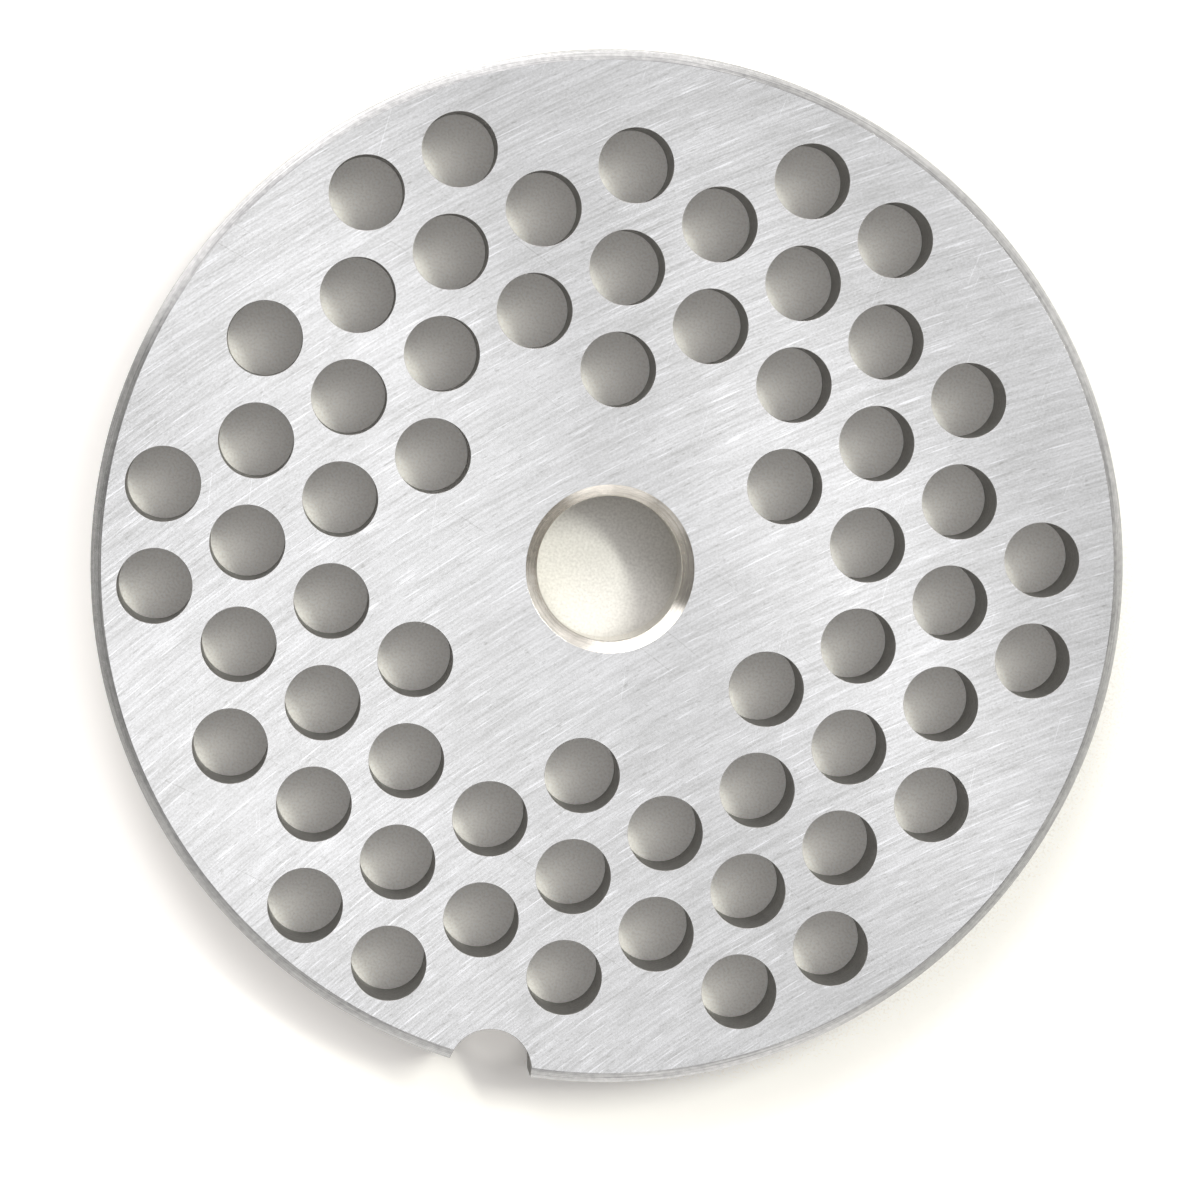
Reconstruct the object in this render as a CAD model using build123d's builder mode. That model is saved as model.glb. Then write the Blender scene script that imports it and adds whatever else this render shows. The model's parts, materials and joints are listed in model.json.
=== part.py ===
from build123d import *
import os
from math import floor, sqrt

# Meat grinder plate: a flat steel disc, turned, ground on both faces and drilled
# through on a triangular pattern. Meat is pressed through the holes while the knife
# sweeps the upper face. The bore carries the end of the feed screw, and the half-round
# notch in the rim sits over a key in the grinder's mouth, so the plate can't turn.
#
# Millimetres. The origin is on the bore axis at the underside, +Z is normal to the
# faces and the notch points to -Y.

# Turned blank
plate_diameter = 62.0
plate_thickness = 5.5
edge_chamfer = 0.65
bore_diameter = 8.7
bore_countersink = 0.7

# Locating notch, a half-round whose centre is on the rim
notch_radius = 2.5

# Drilled field: holes on a triangular lattice, one row of it turned from the notch
hole_diameter = 4.5
hole_pitch = 6.1
pattern_turn = 8.4

# The drilled field's centre, which lies a little off the bore axis
pattern_offset_x = -0.53
pattern_offset_y = -0.37

# No hole centre lies inside this circle, so the knife's hub runs on plain face
hub_circle_diameter = 22.8

# Least land that a hole leaves to the edge chamfer, and to the countersink and the notch
rim_land = 0.2
least_land = 1.0

plate_radius = plate_diameter / 2
bore_radius = bore_diameter / 2
hole_radius = hole_diameter / 2
face_radius = plate_radius - edge_chamfer
countersink_radius = bore_radius + bore_countersink

# Half section of the blank, from the bore wall out to the rim and back
section = [
    (bore_radius, bore_countersink),
    (countersink_radius, 0),
    (face_radius, 0),
    (plate_radius, edge_chamfer),
    (plate_radius, plate_thickness - edge_chamfer),
    (face_radius, plate_thickness),
    (countersink_radius, plate_thickness),
    (bore_radius, plate_thickness - bore_countersink),
]

notch_centre = Vector(0, -plate_radius)

# Hole centres lie in a ring round the pattern's centre, which keeps to these values even
# on the side that the offset brings nearer to the bore or to the rim
pattern_centre = Vector(pattern_offset_x, pattern_offset_y)
bore_clear = countersink_radius + least_land + hole_radius
notch_clear = notch_radius + least_land + hole_radius
field_inner = max(hub_circle_diameter / 2, bore_clear) + pattern_centre.length
field_outer = face_radius - rim_land - hole_radius - pattern_centre.length


def drilled_points():
    """Lattice points, in plate coordinates, whose hole clears the hub, rim and notch."""
    row = Vector(0, -hole_pitch).rotate(Axis.Z, pattern_turn)
    next_row = row.rotate(Axis.Z, 60)
    reach = 1 + floor(2 * field_outer / (sqrt(3) * hole_pitch))
    points = []
    for i in range(-reach, reach + 1):
        for j in range(-reach, reach + 1):
            from_centre = row * i + next_row * j
            point = pattern_centre + from_centre
            in_field = field_inner <= from_centre.length <= field_outer
            if in_field and (point - notch_centre).length >= notch_clear:
                points.append(point)
    return points


with BuildPart() as grinder_plate:
    # Blank, turned in one setting: rim, both edge chamfers, bore and both countersinks
    with BuildSketch(Plane.XZ) as half_section:
        with BuildLine():
            Polyline(section, close=True)
        make_face()
    revolve(axis=Axis.Z)

    # Notch, milled through from face to face
    with BuildSketch() as notch:
        with Locations(notch_centre):
            Circle(notch_radius)
    extrude(amount=plate_thickness, mode=Mode.SUBTRACT)

    # Drilled field, sharp-edged at both faces so that the knife shears against it
    with BuildSketch() as drilled_field:
        with Locations(drilled_points()):
            Circle(hole_radius)
    extrude(amount=plate_thickness, mode=Mode.SUBTRACT)

grinder_plate.part.label = "grinder_plate"

os.makedirs("parts", exist_ok=True)
export_step(grinder_plate.part, "parts/grinder_plate.step")

print(f"holes: {len(drilled_points())}")
print(f"volume: {grinder_plate.part.volume:.1f} mm3")
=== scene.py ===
import json
import math

import bpy
import numpy as np
from mathutils import Matrix, Vector
from mathutils.geometry import delaunay_2d_cdt


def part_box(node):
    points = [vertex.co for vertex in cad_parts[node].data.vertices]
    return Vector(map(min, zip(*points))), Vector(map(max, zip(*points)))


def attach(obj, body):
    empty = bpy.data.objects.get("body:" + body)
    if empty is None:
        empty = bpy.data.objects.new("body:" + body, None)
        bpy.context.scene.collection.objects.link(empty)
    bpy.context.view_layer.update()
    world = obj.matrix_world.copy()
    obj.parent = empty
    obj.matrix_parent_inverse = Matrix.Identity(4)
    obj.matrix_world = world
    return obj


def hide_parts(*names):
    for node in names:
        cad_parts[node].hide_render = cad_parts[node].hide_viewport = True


# Meat grinder plate: one disc of stainless steel, turned, drilled, milled and surface ground.
# The plate's mesh is worked out in millimetres and put into the scene in metres.

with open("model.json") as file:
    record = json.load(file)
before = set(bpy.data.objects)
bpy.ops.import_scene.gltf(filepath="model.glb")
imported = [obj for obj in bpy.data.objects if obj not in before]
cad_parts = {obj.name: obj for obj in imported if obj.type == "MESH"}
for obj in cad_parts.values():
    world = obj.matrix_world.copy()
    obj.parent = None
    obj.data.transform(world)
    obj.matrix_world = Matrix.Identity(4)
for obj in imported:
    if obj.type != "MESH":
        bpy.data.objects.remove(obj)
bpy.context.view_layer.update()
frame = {"record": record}
mm = 0.001
print("frame loaded")


# Sizes in mm, most of them the frame's own

mounts = {mount["name"]: mount["dims"] for mount in frame["record"]["mounts"]}
plateLow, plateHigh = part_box("grinder_plate")
thickness = (plateHigh.z - plateLow.z) / mm
rimRadius = min(plateHigh.x, plateHigh.y) / mm     # as far as the frame's own facets reach
boreRadius = mounts["centre_bore"]["r_mm"]
notchRadius = mounts["locating_notch"]["r_mm"]
edgeChamfer = (thickness - mounts["rim"]["length_mm"]) / 2
countersink = (thickness - mounts["centre_bore"]["length_mm"]) / 2

# The drilled field: a triangular lattice, one row of it turned from the notch
drilledField = {
    "holeRadius": 2.25,
    "pitch": 6.1,
    "turn": 8.4,                 # degrees from the notch's direction
    "centre": (-0.53, -0.37),
    "nearest": 2.0,              # lattice distances from the centre that are drilled, in pitches
    "furthest": 4.36,
}

# How far tool marks and stones have taken the corners down
cornerRounds = {
    "faceToChamfer": 0.012,
    "chamferToRim": 0.12,
    "faceToCountersink": 0.02,
    "countersinkToBore": 0.16,
    "holeMouth": 0.02,
    "notchMouth": 0.03,
}

meshSteps = {
    "corner": 4,                 # faces across a rounded corner
    "closeCorner": 64,           # the same, where a profile is then read at any height
    "rim": 720,                  # faces round each feature
    "notch": 44,
    "bore": 192,
    "hole": 80,
}
faceRun = 1.0                    # how far a profile's first and last side run on the flat face


# Surfaces, as arrays of points

def roundedProfile(corners, rounds, side, steps):
    # A polyline in the (radius, height) plane whose inner corners are arcs. Each arc starts
    # round * tan(half the turn) before its corner, and its centre lies one round behind the
    # surface, so a point is centre + round * (cos, sin) of the surface's normal. Side is 1 where
    # that normal points to the left of the way that the corners run, and -1 where to the right.
    # Returns the radius, the height and the normal's angle of each point.
    corners = np.array(corners, float)
    along = np.diff(corners, axis=0)
    along /= np.linalg.norm(along, axis=1)[:, None]
    normal = side * np.stack([-along[:, 1], along[:, 0]], axis=1)
    lean = np.unwrap(np.arctan2(normal[:, 1], normal[:, 0]))
    arcs = []
    for i, size in enumerate(rounds):
        start = corners[i + 1] - along[i] * size * math.tan(abs(lean[i + 1] - lean[i]) / 2)
        angle = np.linspace(lean[i], lean[i + 1], steps + 1)
        arcs.append(np.stack([start[0] + size * (np.cos(angle) - normal[i, 0]),
                              start[1] + size * (np.sin(angle) - normal[i, 1]), angle]))
    return np.concatenate(arcs, axis=1)


def atHeights(profile, heights):
    # The profile read at given heights, by straight interpolation between its close points,
    # which run downwards and are turned round so that their heights rise
    radius, height, lean = profile[:, ::-1]
    return np.interp(heights, height, radius), heights, np.interp(heights, height, lean)


def sweep(centre, profile, angle):
    # A profile carried round an upright axis: point = centre + radius * (cos, sin) of the angle,
    # at the profile's height. Its normal leans out from the axis, or in towards it, by the
    # profile's own normal. Profile arrays run down the rows, angles along the columns.
    radius, height, lean, angle = np.broadcast_arrays(*(part[:, None] for part in profile), angle)
    points = np.stack([centre[0] + radius * np.cos(angle), centre[1] + radius * np.sin(angle),
                       height], axis=-1)
    normals = np.stack([np.cos(lean) * np.cos(angle), np.cos(lean) * np.sin(angle),
                        np.sin(lean)], axis=-1)
    return points, normals


def drilledCentres():
    # Lattice point = centre + i * row + j * next row, the second 60 degrees on from the first,
    # for all i and j in reach whose distance from the centre is in the drilled ring
    angle = math.radians(drilledField["turn"] - 90) + np.array([0, math.pi / 3])
    rows = drilledField["pitch"] * np.stack([np.cos(angle), np.sin(angle)], axis=1)
    furthest = drilledField["furthest"]
    reach = math.floor(2 * furthest / math.sqrt(3))
    steps = np.arange(-reach, reach + 1)
    i, j = (part.ravel() for part in np.meshgrid(steps, steps, indexing="ij"))
    fromCentre = i[:, None] * rows[0] + j[:, None] * rows[1]
    pitches = np.linalg.norm(fromCentre, axis=1) / drilledField["pitch"]
    slack = 0.001
    drilled = (pitches > drilledField["nearest"] - slack) & (pitches < furthest)
    return np.array(drilledField["centre"]) + fromCentre[drilled]


# The plate's mesh

finishes = ["ground", "turned", "reamed", "drilled", "milled"]     # the material slots' order


class Surface:
    # Points, normals and faces gathered from every feature, before doubles are merged
    def __init__(self):
        self.points, self.normals, self.count = [], [], 0
        self.faces, self.faceNormals, self.finish = [], [], []

    def addGrid(self, points, normals, closed, inwards, finish):
        # Rows run down the wall and columns go round it, anticlockwise from above
        rows, columns = points.shape[:2]
        index = self.count + np.arange(rows * columns).reshape(rows, columns)
        self.points.append(points.reshape(-1, 3))
        self.normals.append(normals.reshape(-1, 3))
        self.count += rows * columns
        ring = np.concatenate([index, index[:, :1]], axis=1) if closed else index
        quads = np.stack([ring[:-1, :-1], ring[1:, :-1], ring[1:, 1:], ring[:-1, 1:]], axis=-1)
        quads = quads.reshape(-1, 4)
        self.addFaces(quads[:, ::-1] if inwards else quads, None, finish)
        return index

    def addFaces(self, faces, normal, finish):
        # Faces that share one normal, or, where it is None, take their points' own
        self.faces.append(faces)
        self.faceNormals.append(normal)
        self.finish.append(np.full(len(faces), finishes.index(finish)))

    def toMesh(self, name):
        points = np.concatenate(self.points) * mm
        normals = np.concatenate(self.normals)
        cornerNormals = [normals[f.ravel()] if n is None else np.tile(n, (f.size, 1))
                         for f, n in zip(self.faces, self.faceNormals)]
        # Doubles are points that agree to a hundredth of a micrometre
        nearest = 1e-8
        _, first, merged = np.unique(np.round(points / nearest).astype(np.int64), axis=0,
                                     return_index=True, return_inverse=True)
        merged = merged.ravel()
        corners = merged[np.concatenate([f.ravel() for f in self.faces])]
        sides = np.concatenate([np.full(len(f), f.shape[1]) for f in self.faces])
        starts = np.concatenate([[0], np.cumsum(sides)[:-1]])
        mesh = bpy.data.meshes.new(name)
        mesh.vertices.add(len(first))
        mesh.vertices.foreach_set("co", points[first].ravel())
        mesh.loops.add(len(corners))
        mesh.loops.foreach_set("vertex_index", corners.astype(np.int32))
        mesh.polygons.add(len(sides))
        mesh.polygons.foreach_set("loop_start", starts.astype(np.int32))
        mesh.polygons.foreach_set("material_index", np.concatenate(self.finish).astype(np.int32))
        mesh.update(calc_edges=True)
        mesh.shade_smooth()
        mesh.normals_split_custom_set(np.concatenate(cornerNormals))
        return mesh


def rimAndNotch(surface):
    # The rim with its chamfers, and the notch that opens into it
    edge = rimRadius - edgeChamfer
    rimCorners = [(edge - faceRun, thickness), (edge, thickness),
                  (rimRadius, thickness - edgeChamfer), (rimRadius, edgeChamfer),
                  (edge, 0), (edge - faceRun, 0)]
    rimRounds = [cornerRounds[name] for name in ("faceToChamfer", "chamferToRim",
                                                 "chamferToRim", "faceToChamfer")]
    notchCorners = [(notchRadius + faceRun, thickness), (notchRadius, thickness),
                    (notchRadius, 0), (notchRadius + faceRun, 0)]
    notchRounds = [cornerRounds["notchMouth"]] * 2

    def profiles(steps):
        return (roundedProfile(rimCorners, rimRounds, 1, steps),
                roundedProfile(notchCorners, notchRounds, -1, steps))

    # Rim and notch share their heights, so that their edges meet point by point
    decimals = 6                     # to a millionth of a millimetre
    coarse = np.concatenate([profile[1] for profile in profiles(meshSteps["corner"])])
    heights = np.unique(np.round(coarse, decimals))[::-1]
    rim, notch = (atHeights(profile, heights) for profile in profiles(meshSteps["closeCorner"]))

    # Where the two circles cross, the triangle of centres and crossing point gives both angles
    # by the law of cosines: at the plate's axis and at the notch's own, which is on the rim
    away = rimRadius
    atAxis = np.arccos((rim[0]**2 + away**2 - notch[0]**2) / (2 * rim[0] * away))
    atNotch = np.arccos((notch[0]**2 + away**2 - rim[0]**2) / (2 * notch[0] * away))
    share = np.linspace(0, 1, meshSteps["rim"] + 1)
    rimAngle = -math.pi / 2 + atAxis[:, None] + share * (2 * math.pi - 2 * atAxis[:, None])
    share = np.linspace(-1, 1, meshSteps["notch"] + 1)
    notchAngle = math.pi / 2 + share * atNotch[:, None]
    rimGrid = surface.addGrid(*sweep((0, 0), rim, rimAngle),
                              closed=False, inwards=False, finish="turned")
    notchGrid = surface.addGrid(*sweep((0, -away), notch, notchAngle),
                                closed=False, inwards=True, finish="milled")
    return rimGrid[:, 1:-1], notchGrid[:, ::-1]      # the rim's end columns are the notch's too


def openings(surface, centres, radius, sink, rounds, columns, finish):
    # Round openings from face to face, one profile carried round each centre, with a countersink
    # at both faces, or none where sink is 0
    corners = [(radius + sink + faceRun, thickness), (radius + sink, thickness),
               (radius, thickness - sink), (radius, sink),
               (radius + sink, 0), (radius + sink + faceRun, 0)]
    if not sink:
        corners = corners[:2] + corners[4:]
    profile = roundedProfile(corners, rounds, -1, meshSteps["corner"])
    angle = np.arange(columns) * 2 * math.pi / columns
    return [surface.addGrid(*sweep(centre, profile, angle),
                            closed=True, inwards=True, finish=finish) for centre in centres]


def faceTriangles(points, edges):
    # The upper flat face as triangles that turn anticlockwise. The first two edges, the rim's and
    # the notch's, make its outline, and the others its openings. A triangle whose corners all lie
    # on the notch's edge, or on one opening's, covers it and is dropped.
    used = np.concatenate(edges)
    place = {corner: i for i, corner in enumerate(used)}
    loops = [np.concatenate(edges[:2]), *edges[2:]]
    sides = [(place[a], place[b]) for loop in loops for a, b in zip(loop, np.roll(loop, -1))]
    nearness = 1e-7
    found = delaunay_2d_cdt([Vector(points[i, :2]) for i in used], sides, [], 0, nearness, True)
    original = np.array([source[0] for source in found[3]])
    corners = original[np.array(found[2])]
    edge = np.repeat(np.arange(len(edges)), [len(part) for part in edges])[corners]
    covers = (edge[:, 0] > 0) & (edge == edge[:, :1]).all(axis=1)
    triangles = used[corners[~covers]]
    a, b, c = (points[triangles[:, i], :2] for i in range(3))
    clockwise = np.cross(b - a, c - a) < 0
    triangles[clockwise] = triangles[clockwise][:, ::-1]
    return triangles


def platePiece():
    # All the walls, then the two flat faces between them, as one closed mesh
    surface = Surface()
    rimGrid, notchGrid = rimAndNotch(surface)
    boreRounds = [cornerRounds[name] for name in ("faceToCountersink", "countersinkToBore",
                                                  "countersinkToBore", "faceToCountersink")]
    bore = openings(surface, [(0, 0)], boreRadius, countersink, boreRounds,
                    meshSteps["bore"], "reamed")
    holes = openings(surface, drilledCentres(), drilledField["holeRadius"], 0,
                     [cornerRounds["holeMouth"]] * 2, meshSteps["hole"], "drilled")
    print("holes:", len(holes))

    # The upper face joins the first rows, and the underside is the same triangles turned over
    grids = [rimGrid, notchGrid, *bore, *holes]
    underneath = np.zeros(surface.count, int)
    for grid in grids:
        underneath[grid[0]] = grid[-1]
    triangles = faceTriangles(np.concatenate(surface.points), [grid[0] for grid in grids])
    surface.addFaces(triangles, (0, 0, 1), "ground")
    surface.addFaces(underneath[triangles][:, ::-1], (0, 0, -1), "ground")

    piece = bpy.data.objects.new("groundPlate", surface.toMesh("groundPlate"))
    bpy.context.scene.collection.objects.link(piece)
    return piece


groundPlate = platePiece()
print("plate mesh:", len(groundPlate.data.polygons), "faces")


# Materials

noiseSpan = (0.3, 0.7)           # a noise keeps near its middle, and most of it lies in here
acrossGrooves = 0.25             # quarter turn from the tangent, the way grooves spread light


def linear(hexColour):
    # sRGB hex to linear: (c + 0.055) / 1.055 to the power 2.4, and c / 12.92 near black
    channels = [int(hexColour[i:i + 2], 16) / 255 for i in (1, 3, 5)]
    return [c / 12.92 if c <= 0.04045 else ((c + 0.055) / 1.055)**2.4 for c in channels] + [1.0]


def addNode(tree, kind, settings, inputs):
    # Adds a node. An input is named or numbered, and takes a value or another node's output.
    made = tree.nodes.new(kind)
    for name, value in settings.items():
        setattr(made, name, value)
    for name, value in inputs.items():
        socket = made.inputs[name]
        if isinstance(value, bpy.types.NodeSocket):
            tree.links.new(value, socket)
        else:
            socket.default_value = value
    return made.outputs


def newMaterial(name):
    material = bpy.data.materials.new(name)
    material.use_nodes = True
    material.node_tree.nodes.clear()
    return material, material.node_tree


def stretchContrast(tree, noise):
    # A noise spread out so that most of it fills 0 to 1
    low, high = noiseSpan
    return addNode(tree, "ShaderNodeMapRange", {}, {
        "Value": noise, "From Min": low, "From Max": high})[0]


def toneAt(tree, level, finish):
    # The finish's colour, dull at level 0 and bright at 1. The node numbers its colours 6 and 7,
    # and the colour it gives 2.
    return addNode(tree, "ShaderNodeMix", {"data_type": "RGBA"}, {
        0: level, 6: linear(finish["dull"]), 7: linear(finish["bright"])})[2]


def markedLevel(tree, marks, place, finish):
    # The level of a cut surface's tone: its tool marks, with small flecks among them
    spots = addNode(tree, "ShaderNodeTexNoise", {}, {
        "Vector": place, "Scale": 1 / (finish["spot"] * mm), "Detail": finish["spotDetail"]})[0]
    share = finish["spotShare"]
    some = addNode(tree, "ShaderNodeMath", {"operation": "MULTIPLY"}, {0: spots, 1: share})[0]
    rest = addNode(tree, "ShaderNodeMath", {"operation": "MULTIPLY"}, {0: marks, 1: 1 - share})[0]
    both = addNode(tree, "ShaderNodeMath", {"operation": "ADD"}, {0: rest, 1: some})[0]
    return stretchContrast(tree, both)


def bareSteel(tree, level, height, finish, grooves=None):
    # Bare steel: a tone that follows the level, relief that follows the height, and fine grooves
    # that run round an upright axis, where the way out from that axis is given. Grooves stretch a
    # highlight across themselves and keep it narrow along themselves.
    relief = addNode(tree, "ShaderNodeBump", {}, {
        "Height": height, "Strength": 1.0, "Distance": finish["depth"] * mm})[0]
    inputs = {"Base Color": toneAt(tree, level, finish), "Metallic": 1.0,
              "Roughness": finish["roughness"], "Normal": relief}
    if grooves is not None:
        around = addNode(tree, "ShaderNodeVectorMath", {"operation": "CROSS_PRODUCT"},
                        {0: (0, 0, 1), 1: grooves})[0]
        inputs["Tangent"] = addNode(tree, "ShaderNodeVectorMath", {"operation": "NORMALIZE"},
                                    {0: around})[0]
        inputs["Anisotropic"] = finish["anisotropy"]
        inputs["Anisotropic Rotation"] = acrossGrooves
    shader = addNode(tree, "ShaderNodeBsdfPrincipled", {}, inputs)[0]
    addNode(tree, "ShaderNodeOutputMaterial", {}, {"Surface": shader})


groundFinish = {
    "bright": "#EEF0F4",
    "dull": "#AEAFAF",
    "wheelCentre": (94.8, -105.7),    # mm, centre of the cup wheel's arcs on the face
    "wheelRadius": 142.0,             # mm, from there to the plate's axis
    "anisotropy": 0.85,
    "roughness": 0.13,
    "depth": 0.0018,                  # mm, of the fine marks
    "longDepth": 1.5,                 # times that, of the long marks
    # each kind of mark: its width and length in mm, its share of the tone, and its own seed.
    # Real grinding marks are a few hundredths of a millimetre wide, too fine to show, so the
    # finest are drawn about a tenth wide.
    "marks": {
        "speckle": (0.10, 0.12, 0.50, 41.9),
        "fine": (0.14, 2.0, 0.55, 3.3),
        "long": (0.24, 9.0, 0.45, 17.1),
        "stroke": (0.55, 6.0, 0.20, 83.1),
        "band": (1.6, 26.0, 0.12, 29.7),
        "cloud": (4.0, 6.0, 0.25, 53.3),
    },
    # sparse marks: width, length, turn from the grinding in radians, the noise level where one
    # starts and where it is full, what it adds to the tone, and its seed
    "sparse": {
        # paintedGlint is a painted highlight: bright tone drawn as if a scratch caught the light
        "paintedGlint": (0.13, 2.6, 0.0, 0.70, 0.80, 0.40, 11.7),
        "nick": (0.12, 0.6, 0.0, 0.72, 0.82, -0.25, 97.3),
        "scratch": (0.09, 7.0, 1.15, 0.80, 0.86, -0.22, 67.7),
        "brightScratch": (0.08, 5.0, 2.25, 0.82, 0.88, 0.22, 73.9),
    },
}


def groundSteel():
    # Surface-ground stainless steel, left by a cup wheel: fine arcs all of one radius, short and
    # overlapping, some cut deep enough to look dark, with painted glints, which are painted
    # highlights, among them
    material, tree = newMaterial("surfaceGroundStainlessSteel")
    place = addNode(tree, "ShaderNodeTexCoord", {}, {})["Object"]
    x, y = groundFinish["wheelCentre"]
    fromWheel = addNode(tree, "ShaderNodeVectorMath", {"operation": "SUBTRACT"},
                        {0: place, 1: (x * mm, y * mm, 0)})[0]
    parts = addNode(tree, "ShaderNodeSeparateXYZ", {}, {0: fromWheel})

    # Across the arcs is the distance from the wheel's centre, and along them is the turn round it
    square = addNode(tree, "ShaderNodeMath", {"operation": "MULTIPLY"},
                     {0: parts[1], 1: parts[1]})[0]
    square = addNode(tree, "ShaderNodeMath", {"operation": "MULTIPLY_ADD"},
                     {0: parts[0], 1: parts[0], 2: square})[0]
    across = addNode(tree, "ShaderNodeMath", {"operation": "SQRT"}, {0: square})[0]
    turned = addNode(tree, "ShaderNodeMath", {"operation": "ARCTAN2"},
                     {0: parts[1], 1: parts[0]})[0]
    along = addNode(tree, "ShaderNodeMath", {"operation": "MULTIPLY"},
                    {0: turned, 1: groundFinish["wheelRadius"] * mm})[0]
    onArcs = addNode(tree, "ShaderNodeCombineXYZ", {}, {0: across, 1: along, 2: parts[2]})[0]

    def marks(width, length, seed, turn=0.0, detail=0.0):
        # Noise stretched to the mark's width and length, and turned from the grinding's way
        way = onArcs
        if turn:
            way = addNode(tree, "ShaderNodeMapping", {}, {
                "Vector": onArcs, "Rotation": (0, 0, turn)})[0]
        stretched = addNode(tree, "ShaderNodeMapping", {}, {
            "Vector": way, "Location": (seed, seed, seed),
            "Scale": (1 / (width * mm), 1 / (length * mm), 1 / mm)})[0]
        return addNode(tree, "ShaderNodeTexNoise", {}, {
            "Vector": stretched, "Scale": 1.0, "Detail": detail})[0]

    layers = {}
    middle = 0.5
    tone = middle
    for kind, (width, length, share, seed) in groundFinish["marks"].items():
        layers[kind] = marks(width, length, seed, detail=1.0)
        off = addNode(tree, "ShaderNodeMath", {"operation": "SUBTRACT"},
                      {0: layers[kind], 1: middle})[0]
        tone = addNode(tree, "ShaderNodeMath", {"operation": "MULTIPLY_ADD"},
                       {0: off, 1: share, 2: tone})[0]
    for width, length, turn, start, full, share, seed in groundFinish["sparse"].values():
        found = addNode(tree, "ShaderNodeMapRange", {}, {
            "Value": marks(width, length, seed, turn=turn), "From Min": start,
            "From Max": full, "To Min": 0.0, "To Max": share})[0]
        tone = addNode(tree, "ShaderNodeMath", {"operation": "ADD"}, {0: tone, 1: found})[0]
    height = addNode(tree, "ShaderNodeMath", {"operation": "MULTIPLY_ADD"},
                     {0: layers["long"], 1: groundFinish["longDepth"], 2: layers["fine"]})[0]
    level = addNode(tree, "ShaderNodeClamp", {}, {0: tone})[0]
    bareSteel(tree, level, height, groundFinish, fromWheel)
    return material


# Turned and countersunk surfaces, in mm: groove is from ring to ring, drift is how far round the
# plate a ring goes before it changes, depth is the rings' own, and spot is the size of the flecks
# among them. paintedChamferShade is how much of the tone the chamfer gains from the face to the
# rim, painted shade along the face's edge and painted light towards the rim, and spotShare is the
# flecks' share of the tone.
ringFinishes = {
    "turned": {"name": "turnedStainlessSteel", "bright": "#D4D4D6", "dull": "#949497",
               "groove": 0.075, "drift": 6.0, "depth": 0.003, "roughness": 0.25,
               "anisotropy": 0.5, "paintedChamferShade": 0.7, "spot": 0.35, "spotDetail": 2.0,
               "spotShare": 0.35},
    "reamed": {"name": "countersunkStainlessSteel", "bright": "#F6F3EE", "dull": "#CFCBC4",
               "groove": 0.11, "drift": 5.0, "depth": 0.003, "roughness": 0.22,
               "anisotropy": 0.4, "paintedChamferShade": 0.0, "spot": 0.35, "spotDetail": 2.0,
               "spotShare": 0.35},
}


def ringedSteel(finish):
    # Turned and countersunk stainless steel: the rim, the chamfers and the bore carry the tool's
    # fine rings, which spread a highlight up and down the surface but not round it
    material, tree = newMaterial(finish["name"])
    place = addNode(tree, "ShaderNodeTexCoord", {}, {})["Object"]
    parts = addNode(tree, "ShaderNodeSeparateXYZ", {}, {0: place})
    flat = addNode(tree, "ShaderNodeCombineXYZ", {}, {0: parts[0], 1: parts[1]})[0]
    radius = addNode(tree, "ShaderNodeVectorMath", {"operation": "LENGTH"}, {0: flat})["Value"]
    groove, drift = 1 / (finish["groove"] * mm), 1 / (finish["drift"] * mm)
    onRings = addNode(tree, "ShaderNodeCombineXYZ", {}, {0: radius, 1: parts[0], 2: parts[1]})[0]
    onRings = addNode(tree, "ShaderNodeVectorMath", {"operation": "MULTIPLY"},
                      {0: onRings, 1: (groove, drift, drift)})[0]
    height = addNode(tree, "ShaderNodeMath", {"operation": "MULTIPLY"},
                     {0: parts[2], 1: groove})[0]
    rings = addNode(tree, "ShaderNodeTexNoise", {"noise_dimensions": "4D"}, {
        "Vector": onRings, "W": height, "Scale": 1.0, "Detail": 1.0})[0]
    # Painted shade and painted light: the turned chamfer is drawn darker along the face's edge and
    # lighter towards the rim
    paintedChamferShade = addNode(tree, "ShaderNodeMapRange", {}, {
        "Value": radius, "From Min": (rimRadius - edgeChamfer) * mm, "From Max": rimRadius * mm,
        "To Min": -finish["paintedChamferShade"] / 2, "To Max": finish["paintedChamferShade"] / 2})[0]
    level = addNode(tree, "ShaderNodeMath", {"operation": "ADD"},
                    {0: markedLevel(tree, rings, place, finish), 1: paintedChamferShade})[0]
    bareSteel(tree, level, rings, finish, flat)
    return material


# Drilled and milled walls, in mm: a mark's size round the wall and up it, how deep it is, and
# the size of the flecks among the marks
cutFinishes = {
    "drilled": {"name": "drilledStainlessSteel", "bright": "#C9C8C6", "dull": "#999796",
                "marks": (1.2, 0.09), "depth": 0.004, "roughness": 0.5, "spot": 0.16,
                "spotDetail": 1.0, "spotShare": 0.5},
    "milled": {"name": "milledStainlessSteel", "bright": "#CBCAC7", "dull": "#A09F9C",
               "marks": (0.14, 1.6), "depth": 0.003, "roughness": 0.36, "spot": 0.16,
               "spotDetail": 1.0, "spotShare": 0.5},
}


def cutSteel(finish):
    # Drilled and milled stainless steel: a drill leaves rings round the hole's wall, and the
    # side of an end mill leaves upright marks. Both are duller than the ground face.
    material, tree = newMaterial(finish["name"])
    place = addNode(tree, "ShaderNodeTexCoord", {}, {})["Object"]
    flat, upright = finish["marks"]
    stretched = addNode(tree, "ShaderNodeMapping", {}, {
        "Vector": place, "Scale": (1 / (flat * mm), 1 / (flat * mm), 1 / (upright * mm))})[0]
    marks = addNode(tree, "ShaderNodeTexNoise", {}, {
        "Vector": stretched, "Scale": 1.0, "Detail": 2.0})[0]
    bareSteel(tree, markedLevel(tree, marks, place, finish), marks, finish)
    return material


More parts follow.
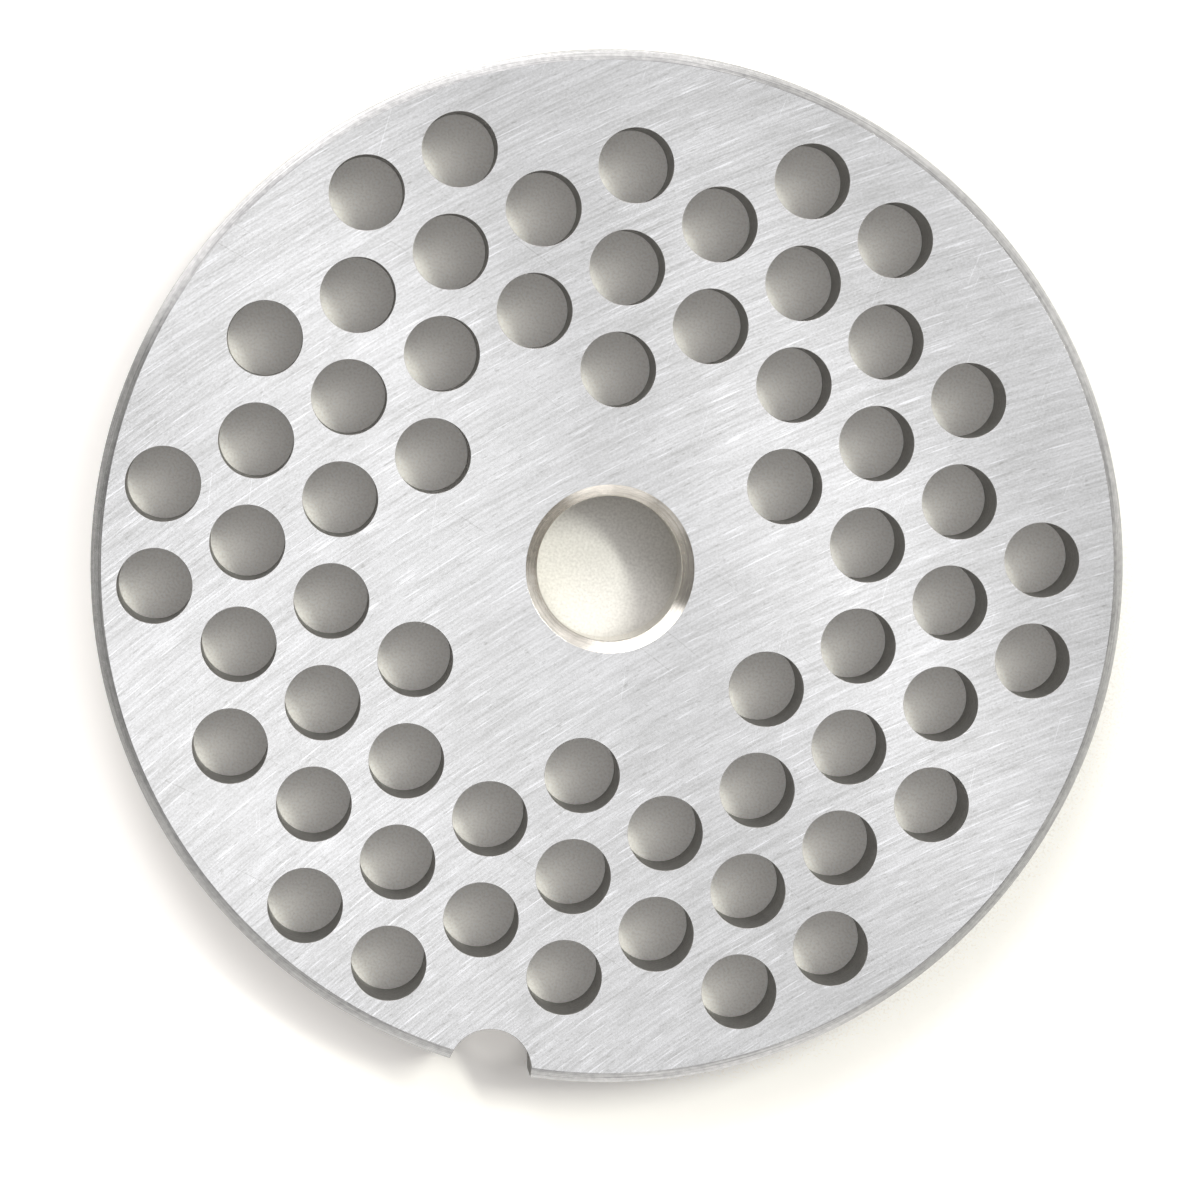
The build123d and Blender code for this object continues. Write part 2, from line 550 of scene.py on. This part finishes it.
for finish in finishes:
    if finish in ringFinishes:
        material = ringedSteel(ringFinishes[finish])
    elif finish in cutFinishes:
        material = cutSteel(cutFinishes[finish])
    else:
        material = groundSteel()
    groundPlate.data.materials.append(material)
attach(groundPlate, "root")
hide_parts("grinder_plate")
print("materials done")


# Table

tableTop = {
    "bright": "#FEFDFB",
    "dull": "#E6E5E3",
    "grain": 0.16,               # mm
    "side": 8.0,                 # m
    "gap": 0.01,                 # mm under the plate
    # White that only the camera sees, where 1 is white. In the plate's shadow, under the holes and in
    # the notch it is painted light that lifts their shade. Each span is in mm, from where there is
    # none to where it is full.
    "rimRing": (30.9, 31.1),     # from the axis, where the white past the rim sets in
    "across": (20.0, -31.0),     # along x, the way in which that white grows
    # painted light over the plate's shadow, on the side away from the lamp
    "paintedLightOverShadow": 0.38,
    "farRing": (31.5, 36.0),     # from the axis, further out
    "farWhite": 0.25,
    # painted light on the table seen through the holes, lifting the shade in them; past this ring it
    # lies on all the table
    "holesRing": (4.5, 6.0),     # from the axis, outside the bore, for what the holes show
    "paintedLightUnderHoles": 0.08,
    # the notch's white is painted light that lifts the shade on the table in the notch
    "notchFromRim": 1.6,         # mm, from the rim in to the middle of the notch's white
    "notchRing": (3.4, 1.4),     # from that middle
    "paintedLightInNotch": 0.22,
    "whiteColour": "#FFFAF5",
}


def paleTable():
    # A pale matt table, very slightly grained. Past the plate's rim the camera sees white added
    # to it, more on the side away from the lamp, as painted light over the plate's shadow there;
    # under the holes and in the notch it sees painted light too, which lifts their shade. The shadow
    # stays, lighter, and nothing is lit by it.
    half = tableTop["side"] / 2
    height = -tableTop["gap"] * mm
    mesh = bpy.data.meshes.new("table")
    mesh.from_pydata([(-half, -half, height), (half, -half, height), (half, half, height),
                      (-half, half, height)], [], [(0, 1, 2, 3)])
    table = bpy.data.objects.new("table", mesh)
    bpy.context.scene.collection.objects.link(table)
    material, tree = newMaterial("paleMattTableWithPaintedLight")
    place = addNode(tree, "ShaderNodeTexCoord", {}, {})["Object"]
    fromAxis = addNode(tree, "ShaderNodeVectorMath", {"operation": "LENGTH"}, {0: place})["Value"]
    notchMiddle = (0, (tableTop["notchFromRim"] - rimRadius) * mm, height)
    fromNotch = addNode(tree, "ShaderNodeVectorMath", {"operation": "DISTANCE"},
                        {0: place, 1: notchMiddle})["Value"]
    side = addNode(tree, "ShaderNodeSeparateXYZ", {}, {0: place})[0]

    def whiteOver(span, distance, white):
        # White that grows from none to its full strength over a span of a distance
        start, full = tableTop[span]
        return addNode(tree, "ShaderNodeMapRange", {}, {
            "Value": distance, "From Min": start * mm, "From Max": full * mm,
            "To Min": 0.0, "To Max": white})[0]

    # Painted light: the camera-only white lifts the shade in the plate's shadow, under the holes and
    # in the notch
    white = addNode(tree, "ShaderNodeMath", {"operation": "MULTIPLY_ADD"}, {
        0: whiteOver("rimRing", fromAxis, 1.0),
        1: whiteOver("across", side, tableTop["paintedLightOverShadow"]),
        2: whiteOver("farRing", fromAxis, tableTop["farWhite"])})[0]
    white = addNode(tree, "ShaderNodeMath", {"operation": "MAXIMUM"}, {
        0: white, 1: whiteOver("notchRing", fromNotch, tableTop["paintedLightInNotch"])})[0]
    white = addNode(tree, "ShaderNodeMath", {"operation": "ADD"}, {
        0: white, 1: whiteOver("holesRing", fromAxis, tableTop["paintedLightUnderHoles"])})[0]
    seen = addNode(tree, "ShaderNodeLightPath", {}, {})["Is Camera Ray"]
    white = addNode(tree, "ShaderNodeMath", {"operation": "MULTIPLY"}, {0: white, 1: seen})[0]

    grain = addNode(tree, "ShaderNodeTexNoise", {}, {
        "Vector": place, "Scale": 1 / (tableTop["grain"] * mm), "Detail": 2.0})[0]
    matt = addNode(tree, "ShaderNodeBsdfDiffuse", {}, {
        "Color": toneAt(tree, stretchContrast(tree, grain), tableTop)})[0]
    glow = addNode(tree, "ShaderNodeEmission", {}, {
        "Color": linear(tableTop["whiteColour"]), "Strength": white})[0]
    both = addNode(tree, "ShaderNodeAddShader", {}, {0: matt, 1: glow})[0]
    addNode(tree, "ShaderNodeOutputMaterial", {}, {"Surface": both})
    mesh.materials.append(material)


paleTable()
print("table done")


# Light

def pointing(azimuth, elevation):
    # The unit vector in a direction given in degrees, from x round towards y and up
    a, e = math.radians(azimuth), math.radians(elevation)
    return Vector((math.cos(a) * math.cos(e), math.sin(a) * math.cos(e), math.sin(e)))


keyLight = {
    "azimuth": 44.0,
    "elevation": 55.0,
    "distance": 1.0,               # m, as are the lamp's width and height
    "width": 0.42,
    "height": 0.09,
    "power": 5.2,
    "colour": "#FFFFF2",
}

roomLight = {
    "colour": "#FFFDFB",
    "overhead": 0.83,              # radiance above the plate, where 1 is white
    "around": 0.15,
    "overheadWithin": 15.0,        # degrees from the upright, where it starts to dim
    "aroundFrom": 31.0,            # degrees from the upright, where it is down to the rest
    # soft windows low round the room: elevation, half width at full strength and half width
    # where one ends, in degrees, then each one's azimuth and radiance
    "lowWindow": (5, 5, 20),
    "lowWindows": {
        "right": (25, 1.2),
        "behindLamp": (50, 1.3),
        "leftOfLamp": (75, 1.4),
        "backRight": (100, 2.6),
        "back": (125, 2.8),
        "backLeft": (150, 2.8),
        "frontLeft": (240, 0.5),
        "front": (272, 1.5),
        "frontRight": (300, 3.0),
    },
    # and two near the lamp: azimuth, elevation, the same half widths, and the radiance
    "highWindows": {
        "besideLamp": (113, 42, 4, 15, 8.5),
        "aboveLamp": (42, 64, 5, 10, 4.5),
    },
    # soft boxes overhead, turned alike: place and half size as slopes from the upright, and the
    # radiance
    "boxTurn": 36.0,               # degrees, the direction of a box's first side
    "boxes": {
        "left": (0.015, -0.005, 0.038, 0.050, 1.1),
        "leftLower": (0.005, -0.085, 0.050, 0.035, 1.5),
        "right": (0.117, -0.020, 0.030, 0.063, 1.1),
        "rightUpper": (0.130, 0.070, 0.025, 0.030, 1.1),
        "lower": (0.090, -0.100, 0.065, 0.030, 0.45),
    },
    "boxEdge": (1.3, 0.3),         # half sizes from its middle, where a box ends and where it is full
    "lowestSlope": 0.05,           # rise below which a direction's slope is held
}


def keyLamp():
    # One warm lamp, a long strip, facing the plate
    lamp = bpy.data.lights.new("key", "AREA")
    lamp.shape = "RECTANGLE"
    lamp.size = keyLight["width"]
    lamp.size_y = keyLight["height"]
    lamp.energy = keyLight["power"]
    lamp.color = linear(keyLight["colour"])[:3]
    holder = bpy.data.objects.new("key", lamp)
    holder.rotation_mode = "QUATERNION"
    towardsLamp = pointing(keyLight["azimuth"], keyLight["elevation"])
    holder.location = towardsLamp * keyLight["distance"]
    holder.rotation_quaternion = towardsLamp.to_track_quat("Z", "Y")
    bpy.context.scene.collection.objects.link(holder)


def paleRoom():
    # A pale room that dims towards the horizon, with soft windows round it and soft boxes
    # overhead. The camera itself sees plain white.
    world = bpy.data.worlds.new("room")
    bpy.context.scene.world = world
    world.use_nodes = True
    tree = world.node_tree
    tree.nodes.clear()
    towards = addNode(tree, "ShaderNodeTexCoord", {}, {})["Generated"]
    parts = addNode(tree, "ShaderNodeSeparateXYZ", {}, {0: towards})

    def softly(value, start, full, low, high):
        # Light that goes smoothly from low to high as a value goes from start to full
        return addNode(tree, "ShaderNodeMapRange", {"interpolation_type": "SMOOTHSTEP"}, {
            "Value": value, "From Min": start, "From Max": full, "To Min": low,
            "To Max": high})[0]

    light = softly(parts[2], math.cos(math.radians(roomLight["aroundFrom"])),
                   math.cos(math.radians(roomLight["overheadWithin"])),
                   roomLight["around"], roomLight["overhead"])
    windows = [(azimuth, *roomLight["lowWindow"], radiance)
               for azimuth, radiance in roomLight["lowWindows"].values()]
    windows += roomLight["highWindows"].values()
    glows = []
    for azimuth, elevation, inner, outer, radiance in windows:
        near = addNode(tree, "ShaderNodeVectorMath", {"operation": "DOT_PRODUCT"},
                       {0: towards, 1: pointing(azimuth, elevation)})["Value"]
        glows.append(softly(near, math.cos(math.radians(outer)), math.cos(math.radians(inner)),
                            0.0, radiance))

    rise = addNode(tree, "ShaderNodeMath", {"operation": "MAXIMUM"},
                   {0: parts[2], 1: roomLight["lowestSlope"]})[0]
    slopes = [addNode(tree, "ShaderNodeMath", {"operation": "DIVIDE"}, {0: part, 1: rise})[0]
              for part in (parts[0], parts[1])]
    slope = addNode(tree, "ShaderNodeCombineXYZ", {}, dict(enumerate(slopes)))[0]
    turn = (0, 0, math.radians(roomLight["boxTurn"]))
    for x, y, halfWidth, halfLength, radiance in roomLight["boxes"].values():
        onBox = addNode(tree, "ShaderNodeMapping", {"vector_type": "TEXTURE"}, {
            "Vector": slope, "Location": (x, y, 0), "Rotation": turn,
            "Scale": (halfWidth, halfLength, 1)})[0]
        off = addNode(tree, "ShaderNodeVectorMath", {"operation": "LENGTH"}, {0: onBox})["Value"]
        glows.append(softly(off, *roomLight["boxEdge"], 0.0, radiance))
    for glow in glows:
        light = addNode(tree, "ShaderNodeMath", {"operation": "ADD"}, {0: light, 1: glow})[0]

    room = addNode(tree, "ShaderNodeBackground", {}, {
        "Color": linear(roomLight["colour"]), "Strength": light})[0]
    white = addNode(tree, "ShaderNodeBackground", {}, {
        "Color": linear("#FFFFFF"), "Strength": 1.0})[0]
    seen = addNode(tree, "ShaderNodeLightPath", {}, {})["Is Camera Ray"]
    both = addNode(tree, "ShaderNodeMixShader", {}, {0: seen, 1: room, 2: white})[0]
    addNode(tree, "ShaderNodeOutputWorld", {}, {"Surface": both})


keyLamp()
paleRoom()
print("light done")


# Camera

view = {
    "lens": 160.0,                 # mm, as is the sensor's width
    "sensor": 36.0,
    "clip": (0.01, 20.0),          # m
    "aim": (-0.165, -1.946),       # mm, on the upper face
    "distance": 318.96,            # mm
    "tilt": 4.677,                 # degrees from straight down
    "azimuth": -28.858,            # degrees, the way it looks
    "up": 103.495,                 # degrees, the way that the picture's top points
}


def placeCamera():
    # A long lens almost straight above. The camera stands back from its aim, along its own view.
    camera = bpy.data.objects.new("camera", bpy.data.cameras.new("camera"))
    bpy.context.scene.collection.objects.link(camera)
    camera.data.lens = view["lens"]
    camera.data.sensor_width = view["sensor"]
    camera.data.clip_start, camera.data.clip_end = view["clip"]
    forward = -pointing(view["azimuth"] + 180, 90 - view["tilt"])
    top = pointing(view["up"], 0)
    up = (top - forward * top.dot(forward)).normalized()
    aim = Vector((*view["aim"], thickness)) * mm
    axes = Matrix((forward.cross(up), up, -forward)).transposed().to_4x4()
    camera.matrix_world = Matrix.Translation(aim - forward * view["distance"] * mm) @ axes
    bpy.context.scene.camera = camera


placeCamera()
bpy.context.scene.view_settings.view_transform = "Standard"
print("camera placed")
